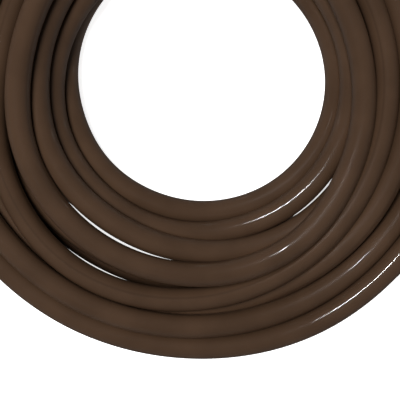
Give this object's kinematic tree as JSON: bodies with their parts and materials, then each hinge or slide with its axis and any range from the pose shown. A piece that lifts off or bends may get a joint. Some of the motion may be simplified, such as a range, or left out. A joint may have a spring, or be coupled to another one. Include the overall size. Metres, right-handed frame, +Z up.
{
  "type": "soaker hose",
  "caption": "Coiled smooth-walled soaker hose with a swivel inlet coupling, a screw-capped outlet and strap ties.",
  "frame": {"origin": "on the coil's axis, on the surface that the coil lies on", "axes": "+Z up along the coil's axis; +Y from the axis towards the ties and fittings; +X the way the inlet opens"},
  "size_m": [0.424, 0.4239, 0.0828],
  "materials": {
    "hose": "satin extruded polyethylene",
    "coupling_plastic": "moulded, lightly textured",
    "stem_plastic": "moulded acetal",
    "ferrule": "drawn and crimped",
    "seal": "matt",
    "restrictor": "moulded",
    "filter_rim": "moulded",
    "screen": "woven wire",
    "tie": "natural nylon"
  },
  "bodies": {
    "hose_assembly": {"hose_coil": "hose", "inlet_lead": "hose", "inlet_hose_end": "hose", "outlet_lead": "hose", "outlet_hose_end": "hose", "inlet_stem": "stem_plastic", "inlet_ferrule": "ferrule", "inlet_washer": "seal", "flow_restrictor": "restrictor", "filter_ring": "filter_rim", "filter_screen": "screen", "outlet_stem": "stem_plastic", "outlet_ferrule": "ferrule", "tie_left": "tie", "tie_top": "tie", "tie_right": "tie"},
    "nut": {"swivel_nut": "coupling_plastic"},
    "cap_seal": {"cap_washer": "seal"},
    "cap": {"end_cap": "coupling_plastic"}
  },
  "joints": [
    {"name": "nut_swivel", "type": "hinge", "parent": "hose_assembly", "child": "nut", "pos_m": [0.0216, 0.186, 0.0668], "axis": [1, 0, 0], "continuous": true},
    {"name": "cap_travel", "type": "slide", "parent": "hose_assembly", "child": "cap_seal", "axis": [-1, 0, 0], "range_m": [0, 0.00994]},
    {"name": "cap_turn", "type": "hinge", "parent": "cap_seal", "child": "cap", "pos_m": [-0.045, 0.122, 0.0658], "axis": [-1, 0, 0], "range_deg": [0, 1620]}
  ],
  "couplings": [
    {"joint": "cap_travel", "follows": "cap_turn", "m_per_rad": 0.00035152}
  ]
}
